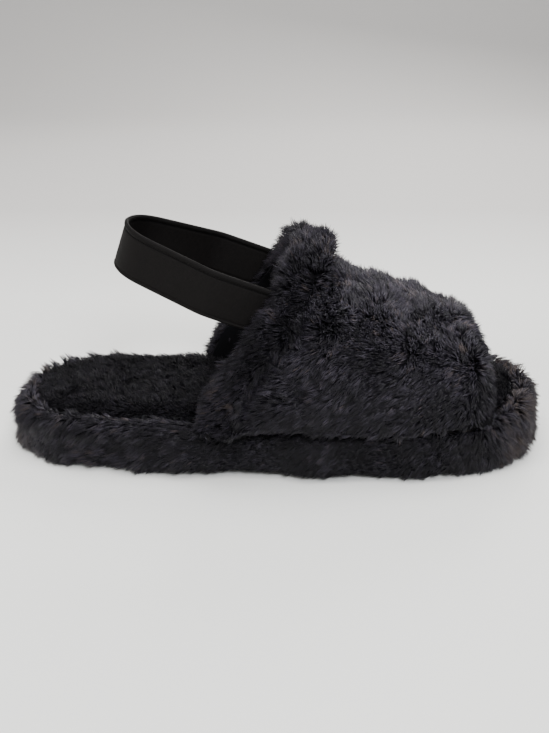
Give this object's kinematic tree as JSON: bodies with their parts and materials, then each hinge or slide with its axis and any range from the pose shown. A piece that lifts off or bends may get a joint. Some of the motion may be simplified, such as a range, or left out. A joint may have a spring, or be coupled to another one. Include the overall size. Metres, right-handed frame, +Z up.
{
  "type": "slingback house slipper",
  "caption": "Open-toe, open-back faux-fur house slipper on a fur-wrapped platform sole, with a wide elastic heel strap.",
  "frame": {"origin": "on the floor, under the middle of the sole's length and width", "axes": "+X towards the toe, +Y towards the inner side of the foot, +Z up"},
  "size_m": [0.275, 0.11, 0.115],
  "materials": {
    "sole_rubber": "matt moulded sole with a fine grain",
    "filler_felt": "pressed felt",
    "core_foam": "closed-cell foam",
    "board": "fibre board",
    "soft_foam": "open-cell foam",
    "footbed_fur": "short dense faux fur",
    "platform_fur": "long faux fur with slightly brown tips",
    "vamp_fur": "long soft faux fur with a cool sheen",
    "lining": "brushed knit",
    "elastic": "ribbed woven elastic with corded edges",
    "thread": "polyester sewing thread"
  },
  "bodies": {
    "slipper": {"outsole": "sole_rubber", "bottom_filler": "filler_felt", "platform_core": "core_foam", "insole_board": "board", "footbed_foam": "soft_foam", "fur_footbed_sock": "footbed_fur", "rear_platform_wrap": "platform_fur", "front_platform_wrap": "platform_fur", "wrap_seam_stitches": "thread", "platform_seam_thread": "thread", "vamp_fur": "vamp_fur", "vamp_foam": "soft_foam", "vamp_lining": "lining", "topline_fur_roll": "vamp_fur", "strap_sewn_ends": "elastic", "strap_anchor_patches": "lining", "strap_tack_stitches": "thread"},
    "strap_sides": {"strap_arms": "elastic"},
    "strap_back": {"strap_heel_band": "elastic"}
  },
  "joints": [
    {"name": "strap_swing", "type": "hinge", "parent": "slipper", "child": "strap_sides", "pos_m": [-0.008, 0, 0.0795], "axis": [0, 1, 0], "range_deg": [-36, 38], "stiffness_Nm_per_rad": 0.15},
    {"name": "strap_stretch", "type": "slide", "parent": "strap_sides", "child": "strap_back", "axis": [-0.9397, 0, 0.342], "range_m": [0, 0.02], "stiffness_N_per_m": 300}
  ]
}
